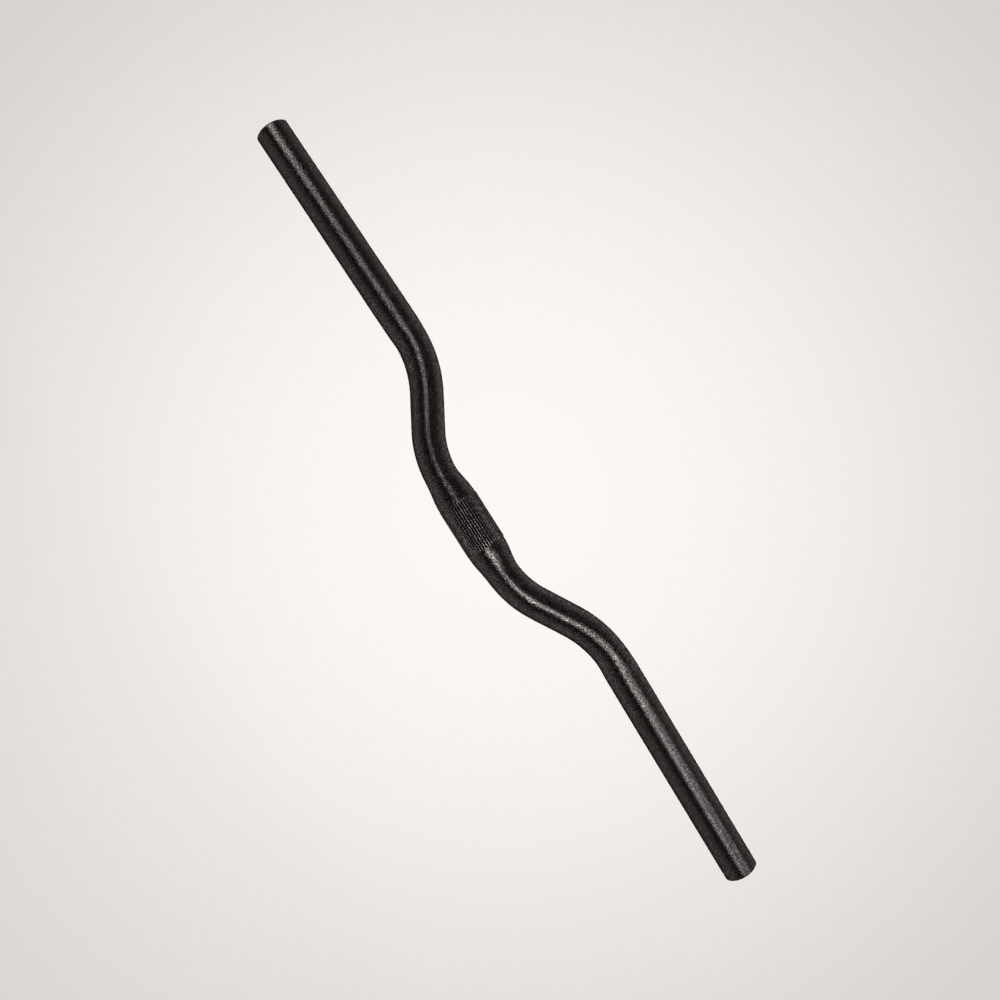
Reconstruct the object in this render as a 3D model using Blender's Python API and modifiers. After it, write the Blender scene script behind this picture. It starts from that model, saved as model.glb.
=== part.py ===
"""Riser handlebar: one aluminium tube, swaged thicker at the middle, bent up into two risers,
swept back at the grips, knurled where the stem holds it and open right through.

Metres, +Z up. The origin is the centre of the clamped middle, +X runs along the bar and the
front of the bicycle is towards -Y.
"""

from math import cos, radians, sin, tan

import bmesh
import bpy
import numpy as np
from mathutils import Vector

# Outline of the bent tube
OVERALL_WIDTH = 0.560
RISE = 0.030
LOWER_CORNER = 0.048  # from the middle to where the clamp's axis meets the riser's axis
RISER_ANGLE = radians(30)
LOWER_BEND_RADIUS = 0.062
UPPER_BEND_RADIUS = 0.074
BACKSWEEP = radians(9)

# Outside of the tube
GRIP_DIAMETER = 0.0222
CLAMP_DIAMETER = 0.0254
CLAMP_LENGTH = 0.034
TAPER_LENGTH = 0.018
BEND_OVALITY = 0.055  # share by which bending flattens the tube in the plane of the risers
OVAL_RUN_OUT = 0.010  # half of the length over which the tube turns from round to oval
END_CHAMFER = 0.0005

# Bore
GRIP_WALL = 0.0021
CLAMP_WALL = 0.0028
MOUTH_CHAMFER = 0.0003

# Knurled band
KNURL_LENGTH = 0.0325
KNURL_RIDGES = 46
KNURL_HEIGHT = 0.00025
KNURL_FLOOR = 0.00005  # the grooves' floor stands this far above the smooth clamp surface
CREST_SHARE = 0.36  # of one ridge's pitch
FLANK_SHARE = 0.14

# Fineness of the surfaces
OUTSIDE_SIDES = 48
BORE_SIDES = 36
SHAPED_SECTIONS = 25  # from the end of the clamped middle to the end of the upper bend
CUT_MARGIN = 0.002

FINISH_COLOUR = (0.021, 0.021, 0.023, 1.0)
FINISH_ROUGHNESS = 0.42
FINISH_METALLIC = 0.6


def clear_scene():
    """Removes what the scene holds before the bar is made."""
    for item in list(bpy.data.objects):
        bpy.data.objects.remove(item, do_unlink=True)


def new_collection(name):
    collection = bpy.data.collections.new(name)
    bpy.context.scene.collection.children.link(collection)
    return collection


def satin_black():
    """Dyed and sealed aluminium, blasted before it was dyed."""
    material = bpy.data.materials.new("satin_black_aluminium")
    material.use_nodes = True
    shader = material.node_tree.nodes["Principled BSDF"]
    shader.inputs["Base Color"].default_value = FINISH_COLOUR
    shader.inputs["Roughness"].default_value = FINISH_ROUGHNESS
    shader.inputs["Metallic"].default_value = FINISH_METALLIC
    return material


def half_corners():
    """Corners of the centre line of the +X half, from the middle to the end face."""
    upper_corner = LOWER_CORNER + RISE / tan(RISER_ANGLE)
    # The outer edge of the end face leans past its centre by the backsweep.
    end_lean = (GRIP_DIAMETER / 2 - END_CHAMFER) * sin(BACKSWEEP)
    end = OVERALL_WIDTH / 2 - end_lean
    return [
        Vector((0, 0, 0)),
        Vector((LOWER_CORNER, 0, 0)),
        Vector((upper_corner, 0, RISE)),
        Vector((end, (end - upper_corner) * tan(BACKSWEEP), RISE)),
    ]


def centre_line(corners, bend_radii):
    """Straight runs joined by tangent arcs, as (length so far, point, direction, inward, radius).

    Inward points to the centre of an arc, and is None on a straight run. The second value is
    the whole length.
    """
    pieces = []
    here = corners[0]
    length = 0.0
    for before, corner, after, radius in zip(corners, corners[1:], corners[2:], bend_radii):
        ahead = (corner - before).normalized()
        turned = (after - corner).normalized()
        angle = ahead.angle(turned)
        bend_start = corner - ahead * radius * tan(angle / 2)
        pieces.append((length, here, ahead, None, 0.0))
        length += (bend_start - here).length
        inward = (turned - ahead * cos(angle)).normalized()
        pieces.append((length, bend_start, ahead, inward, radius))
        length += radius * angle
        here = corner + turned * radius * tan(angle / 2)
    pieces.append((length, here, turned, None, 0.0))
    return pieces, length + (corners[-1] - here).length


LINE, LENGTH = centre_line(half_corners(), [LOWER_BEND_RADIUS, UPPER_BEND_RADIUS])
BENDS_START = LINE[1][0]
BENDS_END = LINE[-1][0]


def place(run):
    """Point and direction of the centre line at this length from the middle."""
    start, point, ahead, inward, radius = [piece for piece in LINE if piece[0] <= run][-1]
    travel = run - start
    if inward is None:
        return point + ahead * travel, ahead
    turn = travel / radius
    arc = ahead * sin(turn) + inward * (1 - cos(turn))
    return point + arc * radius, ahead * cos(turn) + inward * sin(turn)


def ease(share):
    """0 below 0 and 1 above 1, with a smooth S between."""
    share = min(max(share, 0.0), 1.0)
    return share * share * (3 - 2 * share)


def swell(run):
    """1 along the clamped middle, falling to 0 over the taper."""
    return 1 - ease((run - CLAMP_LENGTH / 2) / TAPER_LENGTH)


def ovality(run):
    """Share by which the section is flattened: none at the clamp and grips, full in the bends."""
    rising = ease(0.5 + (run - BENDS_START) / (2 * OVAL_RUN_OUT))
    falling = ease(0.5 + (run - BENDS_END) / (2 * OVAL_RUN_OUT))
    return BEND_OVALITY * (rising - falling)


def tube_radius(run):
    return (GRIP_DIAMETER + (CLAMP_DIAMETER - GRIP_DIAMETER) * swell(run)) / 2


def outside_radius(run):
    """The tube's radius, less the chamfer at the end."""
    return tube_radius(run) - max(0.0, run - (LENGTH - END_CHAMFER))


def bore_radius(run):
    """The tube's radius less its wall, opening out at the mouth."""
    wall = GRIP_WALL + (CLAMP_WALL - GRIP_WALL) * swell(run)
    return tube_radius(run) - wall + max(0.0, run - (LENGTH - MOUTH_CHAMFER))


def section(run, radius, sides):
    """One oval ring across the centre line, with its flattened way in the plane of the risers."""
    centre, ahead = place(run)
    back = Vector((0, 1, 0))
    back = (back - ahead * ahead.dot(back)).normalized()
    up = ahead.cross(back)
    angles = np.linspace(0, 2 * np.pi, sides, endpoint=False)[:, None]
    across = radius * (1 + ovality(run)) * np.cos(angles) * np.array(back)
    along = radius * (1 - ovality(run)) * np.sin(angles) * np.array(up)
    return np.array(centre) + across + along


def loft(name, runs, radius_at, sides, collection):
    """The +X half of a tube as a loft through its sections, mirrored to the whole.

    It is open at the middle, where the mirror joins it, and capped at its end.
    """
    rings = [section(run, radius_at(run), sides) for run in runs]
    step = np.arange(sides)
    following = (step + 1) % sides
    quads = [
        np.stack([step, following, following + sides, step + sides], axis=1) + ring * sides
        for ring in range(len(rings) - 1)
    ]
    cap = step + (len(rings) - 1) * sides
    faces = np.concatenate(quads).tolist() + [cap.tolist()]
    mesh = bpy.data.meshes.new(name)
    mesh.from_pydata(np.concatenate(rings).tolist(), [], faces)
    item = bpy.data.objects.new(name, mesh)
    collection.objects.link(item)
    mirror = item.modifiers.new("other_half", "MIRROR")
    mirror.use_axis = (True, False, False)
    mirror.use_clip = True
    mirror.merge_threshold = 0.00001
    return item


def ridge_outline():
    """Outline of the knurled band seen along the bar: a circle of straight-sided ridges."""
    pitch = 2 * np.pi / KNURL_RIDGES
    floor = CLAMP_DIAMETER / 2 + KNURL_FLOOR
    crest = CLAMP_DIAMETER / 2 + KNURL_HEIGHT
    first = np.arange(KNURL_RIDGES)[:, None] * pitch
    corners = np.array([0, FLANK_SHARE, FLANK_SHARE + CREST_SHARE, 2 * FLANK_SHARE + CREST_SHARE])
    angles = (first + corners * pitch).ravel()
    radii = np.tile([floor, crest, crest, floor], KNURL_RIDGES)
    return np.stack([radii * np.cos(angles), radii * np.sin(angles)], axis=1)


def inner_outline():
    """Circle that the ridges' band is hollow to, half-way through the tube's wall."""
    angles = np.linspace(0, 2 * np.pi, BORE_SIDES, endpoint=False)
    radius = (CLAMP_DIAMETER - CLAMP_WALL) / 2
    return np.stack([radius * np.cos(angles), radius * np.sin(angles)], axis=1)


def knurled_band(collection):
    """The band of ridges as an extruded outline with a hole, turned to lie along the bar."""
    outline = bpy.data.curves.new("knurl_outline", "CURVE")
    outline.dimensions = "2D"
    outline.fill_mode = "BOTH"
    outline.extrude = KNURL_LENGTH / 2
    for points in (ridge_outline(), inner_outline()):
        spline = outline.splines.new("POLY")
        spline.points.add(len(points) - 1)
        for point, (x, y) in zip(spline.points, points):
            point.co = (x, y, 0, 1)
        spline.use_cyclic_u = True
    curve = bpy.data.objects.new("knurl_curve", outline)
    curve.rotation_euler = (0, radians(90), 0)
    collection.objects.link(curve)
    return curve_to_mesh(curve, "knurled_band", collection)


def curve_to_mesh(curve, name, collection):
    """A mesh object in the curve's place, with the curve's caps welded to its sides."""
    bpy.context.view_layer.update()
    evaluated = curve.evaluated_get(bpy.context.evaluated_depsgraph_get())
    mesh = bpy.data.meshes.new_from_object(evaluated)
    mesh.name = name
    welded = bmesh.new()
    welded.from_mesh(mesh)
    bmesh.ops.remove_doubles(welded, verts=welded.verts, dist=0.000001)
    welded.to_mesh(mesh)
    welded.free()
    item = bpy.data.objects.new(name, mesh)
    item.matrix_world = curve.matrix_world.copy()
    collection.objects.link(item)
    bpy.data.objects.remove(curve, do_unlink=True)
    return item


def as_tool(item):
    """Marks a shape that only joins or cuts another."""
    item.hide_render = True
    item.display_type = "WIRE"
    return item


def combine(item, operation, tool):
    boolean = item.modifiers.new(tool.name, "BOOLEAN")
    boolean.operation = operation
    boolean.object = as_tool(tool)


def handlebar():
    """The tube, with the knurled band joined to it and the bore cut through both."""
    parts = new_collection("riser_handlebar")
    tools = new_collection("joined_and_cut_shapes")
    shaped = np.linspace(CLAMP_LENGTH / 2, BENDS_END + OVAL_RUN_OUT, SHAPED_SECTIONS).tolist()
    outside_runs = [0.0] + shaped + [LENGTH - END_CHAMFER, LENGTH]
    bore_runs = [0.0] + shaped + [LENGTH - MOUTH_CHAMFER, LENGTH + CUT_MARGIN]
    bar = loft("handlebar", outside_runs, outside_radius, OUTSIDE_SIDES, parts)
    bore = loft("bore", bore_runs, bore_radius, BORE_SIDES, tools)
    combine(bar, "DIFFERENCE", bore)
    combine(bar, "UNION", knurled_band(tools))
    bar.data.materials.append(satin_black())
    bar.data.shade_smooth()
    bar.data.set_sharp_from_angle(angle=radians(25))


clear_scene()
handlebar()
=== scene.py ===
"""Looks of the riser handlebar: one bent and butted aluminium tube, blasted and
anodised satin black, with a pressed straight knurl where the stem clamps it.
Metres, in the part's own frame: +X along the bar, +Y back, +Z up."""

from math import acos, cos, pi, radians, sin, tan

import bpy
import numpy as np
from mathutils import Matrix, Quaternion, Vector


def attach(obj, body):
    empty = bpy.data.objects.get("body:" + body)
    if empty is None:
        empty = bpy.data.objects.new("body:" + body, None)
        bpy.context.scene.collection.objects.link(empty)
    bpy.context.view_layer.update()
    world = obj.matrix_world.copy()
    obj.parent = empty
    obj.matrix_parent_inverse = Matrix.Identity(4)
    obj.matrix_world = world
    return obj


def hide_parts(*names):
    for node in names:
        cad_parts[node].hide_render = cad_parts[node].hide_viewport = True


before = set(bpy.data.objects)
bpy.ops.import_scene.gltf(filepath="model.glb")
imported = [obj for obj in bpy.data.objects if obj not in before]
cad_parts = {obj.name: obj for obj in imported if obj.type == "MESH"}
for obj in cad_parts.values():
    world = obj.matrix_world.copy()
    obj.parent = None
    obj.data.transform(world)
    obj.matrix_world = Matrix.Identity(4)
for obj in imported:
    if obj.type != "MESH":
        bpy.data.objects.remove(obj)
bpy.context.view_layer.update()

# Camera
# A 45 mm lens about three quarters of a metre in front of the clamp and a hand's
# breadth below it, turned so that the bar runs from upper left to lower right.
CAMERA_PLACE = Vector((-0.00896, -0.75309, -0.07922))
CAMERA_FORWARD = Vector((0.007355, 0.990941, 0.134097))
CAMERA_ROLL = radians(57.557)
SENSOR_WIDTH = 36.0
LENS = 44.65
NEAREST_SEEN = 0.05
FARTHEST_SEEN = 200.0


def in_scene(name, data):
    """An object of that name for a mesh, lamp or camera, put into the scene."""
    made = bpy.data.objects.new(name, data)
    bpy.context.scene.collection.objects.link(made)
    return made


camera_data = bpy.data.cameras.new("camera")
camera_data.sensor_width = SENSOR_WIDTH
camera_data.lens = LENS
camera_data.clip_start = NEAREST_SEEN
camera_data.clip_end = FARTHEST_SEEN
camera = in_scene("camera", camera_data)
camera_turn = CAMERA_FORWARD.to_track_quat("-Z", "Y") @ Quaternion((0, 0, 1), CAMERA_ROLL)
camera.matrix_world = Matrix.LocRotScale(CAMERA_PLACE, camera_turn, None)
bpy.context.scene.camera = camera

# Handlebar
# One drawn aluminium tube, swaged down from clamp to grips, bent twice each side and cut square.
# A straight knurl is pressed into the clamp, then all of it is blasted and anodised satin black.
OVERALL_WIDTH = 0.560
RISE = 0.030
LOWER_CORNER = 0.048
RISER_ANGLE = radians(30)
LOWER_BEND_RADIUS = 0.062
UPPER_BEND_RADIUS = 0.074
BACKSWEEP = radians(9)
GRIP_DIAMETER = 0.0222
CLAMP_DIAMETER = 0.0254
CLAMP_LENGTH = 0.034
TAPER_LENGTH = 0.018
BEND_OVALITY = 0.055
OVAL_RUN_OUT = 0.010
GRIP_WALL = 0.0021
CLAMP_WALL = 0.0028
END_CHAMFER = 0.0005
MOUTH_CHAMFER = 0.0003
CHAMFER_EASING = 0.00012
EASING_POINTS = 4
KNURL_LENGTH = 0.0325
KNURL_RIDGES = 46
KNURL_HEIGHT = 0.000247
KNURL_FLOOR = -0.00016
KNURL_RUN_IN = 0.00035
CREST_SHARE = 0.36
FLANK_SHARE = 0.165
CORNER_GAP = 0.03
RIDGE_TURN = 0.28
SKIN_REACH = 0.004
RIM_REACH = 0.003


def smooth_step(x):
    """0 below 0, 1 above 1, and 3x² − 2x³ between."""
    x = np.clip(x, 0, 1)
    return x * x * (3 - 2 * x)


def swell(run):
    """1 in the clamp, falling by a smooth step along the taper to 0 in the rest."""
    return 1 - smooth_step((run - CLAMP_LENGTH / 2) / TAPER_LENGTH)


def half_line(run):
    """Point and direction of the right half's centre line at each length run from the
    clamp's middle, and the lengths where the bends start and end and the bar ends. Each
    straight adds its direction times the length run on it. Each bend of radius R adds
    R·(ahead·sin q + inward·(1 − cos q)) and turns the direction by
    ahead·(cos q − 1) + inward·sin q, q being the length run on it over R."""
    upper = LOWER_CORNER + RISE / tan(RISER_ANGLE)
    end = OVERALL_WIDTH / 2 - (GRIP_DIAMETER / 2 - END_CHAMFER) * sin(BACKSWEEP)
    corners = np.array([
        (0, 0, 0),
        (LOWER_CORNER, 0, 0),
        (upper, 0, RISE),
        (end, (end - upper) * tan(BACKSWEEP), RISE),
    ])
    legs = np.diff(corners, axis=0)
    lengths = np.linalg.norm(legs, axis=1)
    ways = legs / lengths[:, None]
    point = np.zeros((len(run), 3))
    way = np.tile(ways[0], (len(run), 1))
    here, trimmed, marks = 0.0, 0.0, []
    for k, radius in enumerate((LOWER_BEND_RADIUS, UPPER_BEND_RADIUS)):
        turn = acos(ways[k] @ ways[k + 1])
        trim = radius * tan(turn / 2)
        straight = lengths[k] - trimmed - trim
        point += np.clip(run - here, 0, straight)[:, None] * ways[k]
        here += straight
        marks.append(here)
        inward = ways[k + 1] - ways[k] * cos(turn)
        inward /= np.linalg.norm(inward)
        q = np.clip((run - here) / radius, 0, turn)[:, None]
        point += radius * (ways[k] * np.sin(q) + inward * (1 - np.cos(q)))
        way += ways[k] * (np.cos(q) - 1) + inward * np.sin(q)
        here += radius * turn
        marks.append(here)
        trimmed = trim
    point += np.clip(run - here, 0, None)[:, None] * ways[2]
    marks.append(here + lengths[2] - trimmed)
    return point, way, marks


LOWER_IN, LOWER_OUT, UPPER_IN, UPPER_OUT, HALF_RUN = half_line(np.zeros(1))[2]


def stations(*stretches):
    """The length run at each ring, from 0 on. Each stretch is given as (the length where
    it ends, how many equal steps it has)."""
    start, runs = 0.0, [[0.0]]
    for end, steps in stretches:
        runs.append(np.linspace(start, end, steps + 1)[1:])
        start = end
    return np.concatenate(runs)


def rounded_corners(points, cut, count):
    """A polyline with each inner corner B replaced by the parabola
    (1−t)²·A + 2t(1−t)·B + t²·C, A and C lying at the length cut from B."""
    points = np.asarray(points, float)
    middle = points[1:-1]
    before = points[:-2] - middle
    after = points[2:] - middle
    a = middle + before / np.linalg.norm(before, axis=1)[:, None] * cut
    c = middle + after / np.linalg.norm(after, axis=1)[:, None] * cut
    t = np.linspace(0, 1, count)[None, :, None]
    arcs = (1 - t) ** 2 * a[:, None] + 2 * t * (1 - t) * middle[:, None] + t * t * c[:, None]
    return arcs.reshape(-1, 2)


def grid_mesh(name, grid, closed):
    """A mesh over a grid of points. Its faces join (i, j), (i, j + 1), (i + 1, j + 1) and
    (i + 1, j). A closed grid goes on from its last row and column to its first."""
    index = np.arange(grid.shape[0] * grid.shape[1]).reshape(grid.shape[:2])
    below = np.roll(index, -1, axis=0)
    faces = [index, np.roll(index, -1, axis=1), np.roll(below, -1, axis=1), below]
    faces = np.stack(faces, axis=-1)
    if not closed:
        faces = faces[:-1, :-1]
    mesh = bpy.data.meshes.new(name)
    mesh.from_pydata(grid.reshape(-1, 3).tolist(), [], faces.reshape(-1, 4).tolist())
    return mesh


# Where the rings of the tube lie along the right half, closer at the knurl and bends.
knurl_end = KNURL_LENGTH / 2
skin_runs = stations(
    (knurl_end - KNURL_RUN_IN, 4),
    (knurl_end, 5),
    (CLAMP_LENGTH / 2, 2),
    (CLAMP_LENGTH / 2 + TAPER_LENGTH, 14),
    (LOWER_OUT + OVAL_RUN_OUT / 2, 17),
    (UPPER_IN, 5),
    (UPPER_OUT + OVAL_RUN_OUT / 2, 23),
    (HALF_RUN - SKIN_REACH, 8),
)
bore_runs = stations(
    (CLAMP_LENGTH / 2, 1),
    (LOWER_OUT, 8),
    (UPPER_OUT, 9),
    (HALF_RUN - RIM_REACH, 3),
)
# The rim, from the outer skin over the end face into the bore, as (length short of the
# end face, depth below the outer skin).
rim = rounded_corners(
    [
        (RIM_REACH, 0),
        (END_CHAMFER, 0),
        (0, END_CHAMFER),
        (0, GRIP_WALL - MOUTH_CHAMFER),
        (MOUTH_CHAMFER, GRIP_WALL),
        (RIM_REACH, GRIP_WALL),
    ],
    CHAMFER_EASING,
    EASING_POINTS,
)
bore_depth = GRIP_WALL + (CLAMP_WALL - GRIP_WALL) * swell(bore_runs)
# Once round the tube lengthwise: the outer skin from left to right, the right rim, the
# bore from right to left, and the left rim.
ring_run = np.concatenate([
    -skin_runs[:0:-1],
    skin_runs,
    HALF_RUN - rim[:, 0],
    bore_runs[::-1],
    -bore_runs[1:],
    -(HALF_RUN - rim[::-1, 0]),
])
skin_rings = 2 * len(skin_runs) - 1
ring_depth = np.concatenate([
    np.zeros(skin_rings),
    rim[:, 1],
    bore_depth[::-1],
    bore_depth[1:],
    rim[::-1, 1],
])
is_skin = np.arange(len(ring_run)) < skin_rings

# Eight points a ridge round every ring, one on each side of each corner of the ridge's
# section. The first ridge is turned back by RIDGE_TURN of a ridge's pitch.
corner = np.array([0.5 - CREST_SHARE / 2 - FLANK_SHARE, 0.5 - CREST_SHARE / 2])
beside = np.sort(np.concatenate([corner - CORNER_GAP, corner + CORNER_GAP]))
share = np.concatenate([beside, 1 - beside[::-1]])
pitches = np.arange(KNURL_RIDGES)[:, None] + share - RIDGE_TURN
around = pitches.ravel() * 2 * pi / KNURL_RIDGES
ridge = np.clip((0.5 - np.abs(share - 0.5) - corner[0]) / FLANK_SHARE, 0, 1)
ridge = np.tile(ridge, KNURL_RIDGES)

run = np.abs(ring_run)
side = np.where(ring_run < 0, -1.0, 1.0)
centre, way, _ = half_line(run)
back = np.array([0, 1, 0]) - way * way[:, 1:2]
back /= np.linalg.norm(back, axis=1)[:, None]
up = np.cross(way, back)
skin_radius = (GRIP_DIAMETER + (CLAMP_DIAMETER - GRIP_DIAMETER) * swell(run)) / 2
oval = BEND_OVALITY * (
    smooth_step(0.5 + (run - LOWER_IN) / (2 * OVAL_RUN_OUT))
    - smooth_step(0.5 + (run - UPPER_OUT) / (2 * OVAL_RUN_OUT))
)
in_band = is_skin * smooth_step((knurl_end - run) / KNURL_RUN_IN)
lift = in_band[:, None] * (KNURL_FLOOR + (KNURL_HEIGHT - KNURL_FLOOR) * ridge)
radius = (skin_radius - ring_depth)[:, None] + lift
wide = (radius * (1 + oval)[:, None] * np.cos(around))[..., None] * back[:, None]
tall = (radius * (1 - oval)[:, None] * np.sin(around))[..., None] * up[:, None]
grid = centre[:, None] + wide + tall
grid[..., 0] *= side[:, None]
tube_mesh = grid_mesh("bent_tube", grid, closed=True)
tube_mesh.shade_smooth()
bar = in_scene("bent_tube", tube_mesh)

# Where the finish changes: ridge crests are brighter, partly rubbed wear and partly a
# painted highlight; grooves and the chamfers at the ends are darker, a painted shade;
# and swaging and bending leave worked metal up to the end of the upper bend.
# tube_place is (across, up, along) in the tube.
EDGE_PAINTED_SHADE = 0.6
EDGE_REACH = 0.001
FACE_REACH = 0.0001
WORKED_FADE = 0.06

sides = len(around)
chamfer_depth = np.minimum(ring_depth, np.abs(ring_depth - GRIP_WALL)) / END_CHAMFER
at_edge = smooth_step(chamfer_depth) * smooth_step(2 - chamfer_depth)
# Painted shade: the chamfers at the ends are darkened in colour.
at_edge = EDGE_PAINTED_SHADE * (at_edge * (run > HALF_RUN - EDGE_REACH))[:, None]
worked = 1 - smooth_step((run - UPPER_OUT) / WORKED_FADE)
marked = {
    # crests brighter: partly rubbed wear, partly painted highlight
    "wear_and_highlight": in_band[:, None] * ridge**3,
    # painted shade: grooves and end chamfers darker in colour
    "painted_shade": np.maximum(at_edge, in_band[:, None] * (1 - ridge)),
    "worked": np.repeat(worked[:, None], sides, axis=1),
    "end_face": np.repeat((run > HALF_RUN - FACE_REACH)[:, None], sides, axis=1),
}
for name, values in marked.items():
    attribute = tube_mesh.attributes.new(name, "FLOAT", "POINT")
    attribute.data.foreach_set("value", values.astype(np.float32).ravel())
along = np.repeat(ring_run[:, None], sides, axis=1)
tube_place = np.stack([radius * np.cos(around), radius * np.sin(around), along], axis=-1)
attribute = tube_mesh.attributes.new("tube_place", "FLOAT_VECTOR", "POINT")
attribute.data.foreach_set("vector", tube_place.astype(np.float32).ravel())

# The finish: near-black anodised metal that mirrors little at a grazing angle, even in
# colour, with a fine blasted grain. Scales are in cells a metre.
ANODISED_BLACK = (0.0490, 0.0432, 0.0424)
EDGE_TINT = (0.37, 0.37, 0.37, 1)
METALLIC = 0.95
NOISE_MIDDLE = 0.5
NOISE_RANGE = (0.3, 0.7)
COARSE_SHARE = 0.62
SPECKLE_SHIFT = (0.37, 0.11, 0.53)
MOTTLE_SCALE = 120.0
MOTTLE_DETAIL = 3.0


def new_node(tree, kind, inputs=None, **settings):
    """A node of that kind with its settings, and values or links for its inputs."""
    node = tree.nodes.new(kind)
    for key, value in settings.items():
        setattr(node, key, value)
    for key, value in (inputs or {}).items():
        if isinstance(value, bpy.types.NodeSocket):
            tree.links.new(value, node.inputs[key])
        else:
            node.inputs[key].default_value = value
    return node


def emptied_tree(owner):
    """The node tree of a material or world, with nothing in it."""
    owner.use_nodes = True
    owner.node_tree.nodes.clear()
    return owner.node_tree


def new_group(name, inputs, outputs):
    """A node group with sockets of these kinds, and their ends inside it."""
    group = bpy.data.node_groups.new(name, "ShaderNodeTree")
    for in_out, sockets in (("INPUT", inputs), ("OUTPUT", outputs)):
        for socket, kind in sockets.items():
            group.interface.new_socket(socket, in_out=in_out, socket_type="NodeSocket" + kind)
    entry = group.nodes.new("NodeGroupInput").outputs
    leave = group.nodes.new("NodeGroupOutput").inputs
    return group, entry, leave


def placed_group(tree, group, inputs):
    """The outputs of a node group placed in the tree with these inputs."""
    return new_node(tree, "ShaderNodeGroup", inputs, node_tree=group).outputs


def maths(tree, operation, *values):
    """The outcome of one Math node on these values or links."""
    inputs = dict(enumerate(values))
    return new_node(tree, "ShaderNodeMath", inputs, operation=operation).outputs[0]


def vector_maths(tree, operation, *values):
    """The outcome of one Vector Math node, a number for LENGTH and DOT_PRODUCT."""
    inputs = dict(enumerate(values))
    node = new_node(tree, "ShaderNodeVectorMath", inputs, operation=operation)
    return node.outputs["Value" if operation in ("LENGTH", "DOT_PRODUCT") else "Vector"]


def scaled(tree, colour, factor):
    """A colour times a factor."""
    inputs = {0: colour, "Scale": factor}
    return new_node(tree, "ShaderNodeVectorMath", inputs, operation="SCALE").outputs["Vector"]


def changed(tree, value, part, gain):
    """value·(1 + gain·part)."""
    return maths(tree, "MULTIPLY", value, maths(tree, "MULTIPLY_ADD", part, gain, 1.0))


def blend(tree, share, first, second):
    """first·(1 − share) + second·share."""
    return new_node(tree, "ShaderNodeMix", {0: share, 2: first, 3: second}).outputs[0]


def noise(tree, vector, scale, detail=1.0):
    """Noise from 0 to 1, mostly within NOISE_RANGE, at this many cells a metre."""
    inputs = {"Vector": vector, "Scale": scale, "Detail": detail}
    return new_node(tree, "ShaderNodeTexNoise", inputs).outputs["Fac"]


def ramp(tree, value, start, end, low=0.0, high=1.0, **settings):
    """low where the value is at start, high where it is at end, straight between."""
    inputs = {"Value": value, "From Min": start, "From Max": end, "To Min": low, "To Max": high}
    return new_node(tree, "ShaderNodeMapRange", inputs, **settings).outputs["Result"]


def spread(tree, value, low, high):
    """A noise value with its usual range stretched to low and high."""
    return ramp(tree, value, *NOISE_RANGE, low, high)


def bumped(tree, height, depth):
    """The surface's normal over pits of this depth, height being 0 to 1 in them."""
    inputs = {"Strength": 1.0, "Distance": depth, "Height": height}
    return new_node(tree, "ShaderNodeBump", inputs).outputs["Normal"]


def anodise(tree, shade, rough, normal):
    """Black anodised metal in a material: its colour times shade, roughness and normal."""
    inputs = {
        "Base Color": scaled(tree, ANODISED_BLACK, shade),
        "Roughness": rough,
        "Metallic": METALLIC,
        "Specular Tint": EDGE_TINT,
        "Normal": normal,
    }
    metal = new_node(tree, "ShaderNodeBsdfPrincipled", inputs).outputs["BSDF"]
    new_node(tree, "ShaderNodeOutputMaterial", {"Surface": metal})


def marked_part(tree, name):
    """The tube's mark of that name, from 0 to 1."""
    return new_node(tree, "ShaderNodeAttribute", attribute_name=name).outputs["Fac"]


def blasted_grain():
    """Node group for bead-blasted skin: the height of its pits as fine plus coarse noise,
    a speckle of duller and brighter grains, and a slow mottle of the same surface."""
    group, entry, leave = new_group(
        "blasted_grain",
        {"Vector": "Vector", "Fine Scale": "Float", "Coarse Scale": "Float"},
        {"Height": "Float", "Speckle": "Float", "Mottle": "Float"},
    )
    place = entry["Vector"]
    fine = noise(group, place, entry["Fine Scale"])
    coarse = noise(group, place, entry["Coarse Scale"])
    elsewhere = vector_maths(group, "ADD", place, SPECKLE_SHIFT)
    speckle = noise(group, elsewhere, entry["Coarse Scale"])
    mottle = noise(group, place, MOTTLE_SCALE, MOTTLE_DETAIL)
    group.links.new(blend(group, COARSE_SHARE, fine, coarse), leave["Height"])
    group.links.new(speckle, leave["Speckle"])
    group.links.new(mottle, leave["Mottle"])
    return group


grain_group = blasted_grain()

# The blasted skin. Grain is the base colour times SPARKLE to the power of the speckle. It
# is calmer in the knurl and stronger in worked metal. Crests are brighter in patches, partly
# rubbed wear and partly a painted highlight; grooves and end chamfers are a painted shade.
SATIN_FINE_SCALE = 2600.0
SATIN_COARSE_SCALE = 1120.0
SATIN_PIT_DEPTH = 0.00017
SATIN_ROUGHNESS = (0.15, 0.19)
SATIN_MOTTLE = (0.94, 1.06)
SPARKLE = 130.0
PLAIN_SPARKLE = 0.78
WORKED_SPARKLE = 0.35
KNURL_CALM = 0.7
KNURL_DULLNESS = 0.06
PATCH_SCALE = 600.0
PATCH_GAINS = (0.0, 2.4)
# How far the painted shade darkens the grooves and end chamfers.
PAINTED_SHADE_DEPTH = 0.85

satin = bpy.data.materials.new("satin_black_anodised")
tree = emptied_tree(satin)
place = new_node(tree, "ShaderNodeTexCoord").outputs["Object"]
scales = {"Fine Scale": SATIN_FINE_SCALE, "Coarse Scale": SATIN_COARSE_SCALE}
grain = placed_group(tree, grain_group, {"Vector": place, **scales})
wear_and_highlight_part = marked_part(tree, "wear_and_highlight")
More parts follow.
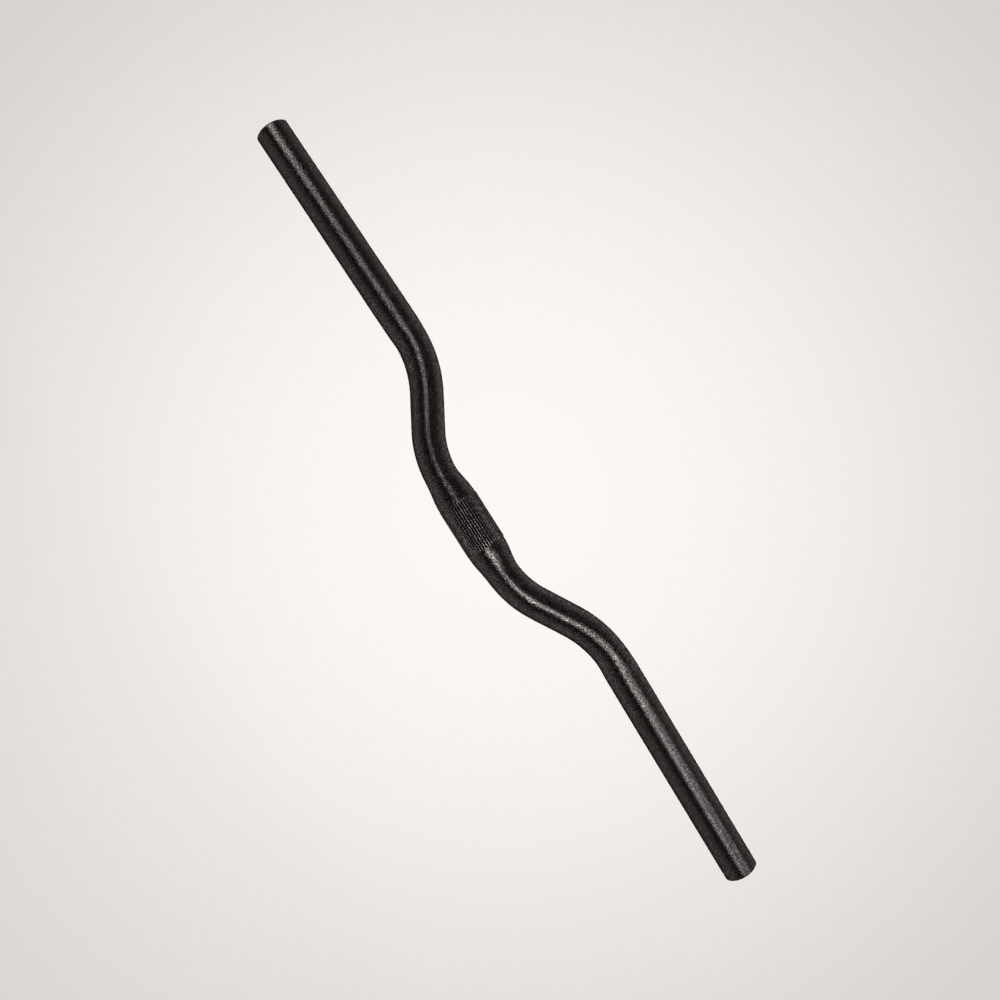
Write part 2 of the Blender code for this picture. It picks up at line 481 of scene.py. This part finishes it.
# Painted shade: grooves and end chamfers darker in colour.
painted_shade_part = marked_part(tree, "painted_shade")
in_knurl = maths(tree, "ADD", wear_and_highlight_part, painted_shade_part)
sparkle = maths(tree, "ADD", grain["Speckle"], -NOISE_MIDDLE)
sparkle = changed(tree, sparkle, in_knurl, -KNURL_CALM)
worked_part = marked_part(tree, "worked")
strength = maths(tree, "MULTIPLY_ADD", worked_part, WORKED_SPARKLE, PLAIN_SPARKLE)
sparkle = maths(tree, "MULTIPLY", sparkle, strength)
shade = maths(tree, "POWER", SPARKLE, sparkle)
shade = maths(tree, "MULTIPLY", shade, spread(tree, grain["Mottle"], *SATIN_MOTTLE))
# Crests brighter in patches: partly rubbed wear, partly a painted highlight.
patches = spread(tree, noise(tree, place, PATCH_SCALE), *PATCH_GAINS)
shade = changed(tree, shade, wear_and_highlight_part, patches)
# Painted shade darkens the grooves and the end chamfers.
shade = changed(tree, shade, painted_shade_part, -PAINTED_SHADE_DEPTH)
rough = spread(tree, grain["Mottle"], *SATIN_ROUGHNESS)
rough = maths(tree, "MULTIPLY_ADD", in_knurl, KNURL_DULLNESS, rough)
anodise(tree, shade, rough, bumped(tree, grain["Height"], SATIN_PIT_DEPTH))
tube_mesh.materials.append(satin)

# The bore and the cut end aren't blasted, so draw lines and cutter rings show there.
BORE_FINE_SCALE = 5200.0
BORE_COARSE_SCALE = 1500.0
BORE_PIT_SHARE = 0.35
BORE_MARK_DEPTH = 0.00012
BORE_ROUGHNESS = (0.33, 0.39)
BORE_MARK_SHADES = (0.82, 1.12)
BORE_MOTTLE = (0.85, 1.1)
CUT_GAIN = 0.7
LINE_SCALE = 22.0
LINE_DETAIL = 3.0
LINE_DRIFT = (0, 0, 1.2)
RING_PITCH = 0.00022
RING_SWING = 0.15


def tube_marks():
    """Node group for the marks left on bare tube by tools. Draw lines run lengthwise: noise
    of the direction round the tube, nearly constant along it. Cutter rings on the end face
    are the sine of the distance from the tube's middle."""
    group, entry, leave = new_group(
        "tube_marks",
        {"Place": "Vector", "Ring Pitch": "Float", "End Face": "Float"},
        {"Height": "Float"},
    )
    across = vector_maths(group, "MULTIPLY", entry["Place"], (1, 1, 0))
    direction = vector_maths(group, "NORMALIZE", across)
    drift = vector_maths(group, "MULTIPLY", entry["Place"], LINE_DRIFT)
    lengthwise = vector_maths(group, "ADD", direction, drift)
    lines = noise(group, lengthwise, LINE_SCALE, LINE_DETAIL)
    from_middle = vector_maths(group, "LENGTH", across)
    turns = maths(group, "DIVIDE", from_middle, entry["Ring Pitch"])
    rings = maths(group, "SINE", maths(group, "MULTIPLY", turns, 2 * pi))
    rings = maths(group, "MULTIPLY_ADD", rings, RING_SWING, NOISE_MIDDLE)
    group.links.new(blend(group, entry["End Face"], lines, rings), leave["Height"])
    return group


bore_black = bpy.data.materials.new("drawn_bore_black")
tree = emptied_tree(bore_black)
place = new_node(tree, "ShaderNodeTexCoord").outputs["Object"]
scales = {"Fine Scale": BORE_FINE_SCALE, "Coarse Scale": BORE_COARSE_SCALE}
grain = placed_group(tree, grain_group, {"Vector": place, **scales})
cut_part = marked_part(tree, "end_face")
in_tube = new_node(tree, "ShaderNodeAttribute", attribute_name="tube_place").outputs["Vector"]
marks = {"Place": in_tube, "Ring Pitch": RING_PITCH, "End Face": cut_part}
mark_height = placed_group(tree, tube_marks(), marks)["Height"]
height = maths(tree, "MULTIPLY_ADD", grain["Height"], BORE_PIT_SHARE, mark_height)
mark_shade = spread(tree, mark_height, *BORE_MARK_SHADES)
shade = maths(tree, "MULTIPLY", mark_shade, spread(tree, grain["Mottle"], *BORE_MOTTLE))
shade = changed(tree, shade, cut_part, CUT_GAIN)
rough = spread(tree, grain["Mottle"], *BORE_ROUGHNESS)
anodise(tree, shade, rough, bumped(tree, height, BORE_MARK_DEPTH))
tube_mesh.materials.append(bore_black)
past_chamfer = ring_depth > END_CHAMFER
inside = past_chamfer & np.roll(past_chamfer, -1)
tube_mesh.polygons.foreach_set("material_index", np.repeat(inside, sides).astype(np.int32))
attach(bar, "root")
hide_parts("handlebar")

# Backdrop and floor
# A pale paper room with a painted pool of light that pales it towards the middle of the
# wall behind the bar, and a floor of the same paper with the same painted pool a forearm
# below it, so that no line shows where they meet.
FLOOR_HEIGHT = -0.270
FLOOR_HALF = 40.0
POOL_DIRECTION = (0.007355, 0.990941, 0.134097)
POOL_FROM = (-0.00857, -0.75387, -0.07914)
POOL_WIDTH = 6.153
POOL_EDGE = 2.2
POOL_TONES = (0.947, -0.2407, 0.0464)
LEAST_AHEAD = 0.2
PAPER_TINT = (1.033, 0.9975, 0.970)
WHITE = (1, 1, 1, 1)
ROOM_LIGHT = 0.66
LIT_REACH = (0.15, 1.0)
LIT_PART = 0.38
LIT_SHARE = 0.95


def paper_with_painted_pool():
    """Node group: the paper's colour in a direction, with a painted pool of light on it. With x
    as the squared tangent of the angle from the pool of light times its width, held to its
    edge, the tone is a + b·x + c·x²."""
    group, entry, leave = new_group("paper_with_painted_pool", {"Direction": "Vector"}, {"Color": "Color"})
    unit = vector_maths(group, "NORMALIZE", entry["Direction"])
    ahead = vector_maths(group, "DOT_PRODUCT", unit, POOL_DIRECTION)
    ahead = maths(group, "MAXIMUM", ahead, LEAST_AHEAD)
    x = maths(group, "DIVIDE", 1.0, maths(group, "MULTIPLY", ahead, ahead))
    x = maths(group, "MULTIPLY", maths(group, "ADD", x, -1.0), POOL_WIDTH)
    x = maths(group, "MINIMUM", x, POOL_EDGE)
    a, b, c = POOL_TONES
    tone = maths(group, "MULTIPLY_ADD", x, c, b)
    tone = maths(group, "MULTIPLY_ADD", tone, x, a)
    group.links.new(scaled(group, PAPER_TINT, tone), leave["Color"])
    return group


def mixed(tree, share, first, second):
    """The first shader where share is 0, the second where it is 1, and both between."""
    return new_node(tree, "ShaderNodeMixShader", {0: share, 1: first, 2: second}).outputs[0]


# The room: its paper with the painted pool of light where it is seen or mirrored, and even
# light for everything else.
painted_pool_group = paper_with_painted_pool()
world = bpy.data.worlds.new("paper_room")
bpy.context.scene.world = world
world.cycles.sampling_method = "NONE"
tree = emptied_tree(world)
direction = new_node(tree, "ShaderNodeTexCoord").outputs["Generated"]
tone = placed_group(tree, painted_pool_group, {"Direction": direction})["Color"]
path = new_node(tree, "ShaderNodeLightPath").outputs
seen = maths(tree, "MAXIMUM", path["Is Camera Ray"], path["Is Glossy Ray"])
seen = maths(tree, "MAXIMUM", seen, path["Is Transmission Ray"])
seen_paper = new_node(tree, "ShaderNodeBackground", {"Color": tone}).outputs[0]
even_light = {"Color": WHITE, "Strength": ROOM_LIGHT}
room_light = new_node(tree, "ShaderNodeBackground", even_light).outputs[0]
new_node(tree, "ShaderNodeOutputWorld", {"Surface": mixed(tree, seen, room_light, seen_paper)})

# The floor glows, though it is no lamp, in the wall's own tone with the painted pool of
# light, and near the bar a part of it is lit instead, so that a faint shadow falls there.
floor_edges = np.array([-FLOOR_HALF, FLOOR_HALF])
floor_points = np.full((2, 2, 3), FLOOR_HEIGHT)
floor_points[..., 0] = floor_edges
floor_points[..., 1] = floor_edges[:, None]
floor_mesh = grid_mesh("paper_floor", floor_points, closed=False)
floor = in_scene("paper_floor", floor_mesh)
paper = bpy.data.materials.new("glowing_paper_painted_pool")
tree = emptied_tree(paper)
spot = new_node(tree, "ShaderNodeTexCoord").outputs["Object"]
from_pool = vector_maths(tree, "SUBTRACT", spot, POOL_FROM)
tone = placed_group(tree, painted_pool_group, {"Direction": from_pool})["Color"]
reach = vector_maths(tree, "LENGTH", spot)
near = ramp(tree, reach, *LIT_REACH, LIT_PART, 0.0, interpolation_type="SMOOTHSTEP")
# Painted light: the floor glows with the painted pool of light.
glow = new_node(tree, "ShaderNodeEmission", {"Color": tone}).outputs[0]
lit = new_node(tree, "ShaderNodeBsdfDiffuse", {"Color": scaled(tree, tone, LIT_SHARE)}).outputs[0]
new_node(tree, "ShaderNodeOutputMaterial", {"Surface": mixed(tree, near, glow, lit)})
floor_mesh.materials.append(paper)

# Black drapes
# Black cloth on the floor in front of the bar, hung behind the lamps and over the camera, and
# above and below the rear lamp. Only reflections show it, as the dark lines down the tube.
FRONT_DRAPE = [
    (0.08, -0.262), (-1.15, -0.262), (-1.40, -0.10), (-1.40, 1.30), (-1.20, 1.50), (-0.05, 1.50),
]
REAR_FOOT = [(0.45, -0.262), (1.45, -0.262), (1.62, 0.00)]
REAR_TOP = [(1.62, 0.72), (1.62, 1.00), (1.60, 1.26)]
DRAPE_HALF_WIDTH = 4.0
DRAPE_COLUMNS = 9
DRAPE_FOLD = 0.12
FOLD_POINTS = 8
CLOTH_BLACK = 0.004
CLOTH_CHARCOAL = 0.16
GREYING_HEIGHTS = (0.2, 1.2)
TOP_HEIGHT = 1.0
SHEER_TOP = (-0.95, -0.05)
SHEER_FOOT = (-0.27, 0.05)


def cloth(name, low, high, sheer_ends):
    """Diffuse cloth, grey from low to high between GREYING_HEIGHTS. Sheer ends fade out
    towards +Y, over SHEER_TOP above TOP_HEIGHT and over SHEER_FOOT below it."""
    made = bpy.data.materials.new(name)
    tree = emptied_tree(made)
    spot = new_node(tree, "ShaderNodeTexCoord").outputs["Object"]
    parts = new_node(tree, "ShaderNodeSeparateXYZ", {0: spot}).outputs
    grey = ramp(tree, parts["Z"], *GREYING_HEIGHTS, low, high)
    grey = new_node(tree, "ShaderNodeCombineXYZ", {0: grey, 1: grey, 2: grey}).outputs[0]
    surface = new_node(tree, "ShaderNodeBsdfDiffuse", {"Color": grey}).outputs[0]
    if sheer_ends:
        over = maths(tree, "GREATER_THAN", parts["Z"], TOP_HEIGHT)
        under = maths(tree, "SUBTRACT", 1.0, over)
        top = maths(tree, "MULTIPLY", ramp(tree, parts["Y"], *SHEER_TOP), over)
        foot = maths(tree, "MULTIPLY", ramp(tree, parts["Y"], *SHEER_FOOT), under)
        sheer = new_node(tree, "ShaderNodeBsdfTransparent").outputs[0]
        surface = mixed(tree, maths(tree, "ADD", top, foot), surface, sheer)
    new_node(tree, "ShaderNodeOutputMaterial", {"Surface": surface})
    return made


def drape(name, profile, material):
    """Cloth of one side profile (y, z), its corners rounded, carried straight along X."""
    folds = rounded_corners(profile, DRAPE_FOLD, FOLD_POINTS)
    line = np.vstack([profile[0], folds, profile[-1]])
    grid = np.empty((len(line), DRAPE_COLUMNS, 3))
    grid[..., 0] = np.linspace(-DRAPE_HALF_WIDTH, DRAPE_HALF_WIDTH, DRAPE_COLUMNS)
    grid[..., 1:] = line[:, None]
    mesh = grid_mesh(name, grid, closed=False)
    mesh.materials.append(material)
    hung = in_scene(name, mesh)
    hung.visible_camera = False
    hung.visible_diffuse = False
    hung.visible_shadow = False


drape("black_drape", FRONT_DRAPE, cloth("black_cloth", CLOTH_BLACK, CLOTH_CHARCOAL, True))
rear_cloth = cloth("rear_black_cloth", CLOTH_BLACK, CLOTH_BLACK, False)
drape("rear_drape_foot", REAR_FOOT, rear_cloth)
drape("rear_drape_top", REAR_TOP, rear_cloth)

# Soft lamps
# Six softboxes stand in a row just behind the camera, each tilted a little. A wide dim one
# overhead lights the top, and a long low one behind the bar draws a streak down its back.
LAMP_ROW = -0.90
# Each is (x, z), (width, height), tilt in degrees and the radiance of its face.
SOFTBOXES = {
    "near_right": ((0.218, -0.220), (0.210, 0.463), 14.6, 14.0),
    "right": ((0.683, 0.028), (0.747, 0.351), -18.9, 5.8),
    "upper_right": ((0.512, 0.255), (0.322, 0.538), -3.4, 5.0),
    "high_right": ((1.256, 0.637), (0.758, 0.492), -25.7, 3.6),
    "near_left": ((-0.479, -0.007), (0.534, 0.325), -40.6, 3.8),
    "far_left": ((-1.204, -0.050), (0.474, 0.920), 24.8, 8.2),
}
OVERHEAD_PLACE = (0.0, 0.75, 1.00)
OVERHEAD_SIZE = (3.2, 1.1)
OVERHEAD_RADIANCE = 0.60
REAR_PLACE = (0.0, 1.60, 0.36)
REAR_SIZE = (5.0, 0.66)
REAR_RADIANCE = 4.5


def softbox(name, spot, turn, size, radiance):
    """A rectangular lamp whose face gives this radiance: power = radiance·π·area."""
    lamp_data = bpy.data.lights.new(name, "AREA")
    lamp_data.shape = "RECTANGLE"
    lamp_data.size, lamp_data.size_y = size
    lamp_data.energy = radiance * pi * size[0] * size[1]
    lamp = in_scene(name, lamp_data)
    lamp.location = spot
    lamp.rotation_euler = turn
    lamp.visible_camera = False
    return lamp


for name, ((x, z), size, tilt, radiance) in SOFTBOXES.items():
    softbox(name, (x, LAMP_ROW, z), (radians(90), radians(-tilt), 0), size, radiance)
softbox("overhead", OVERHEAD_PLACE, (0, 0, 0), OVERHEAD_SIZE, OVERHEAD_RADIANCE)
rear = softbox("rear", REAR_PLACE, (radians(-90), 0, 0), REAR_SIZE, REAR_RADIANCE)
rear.visible_diffuse = False

bpy.context.scene.view_settings.view_transform = "Standard"
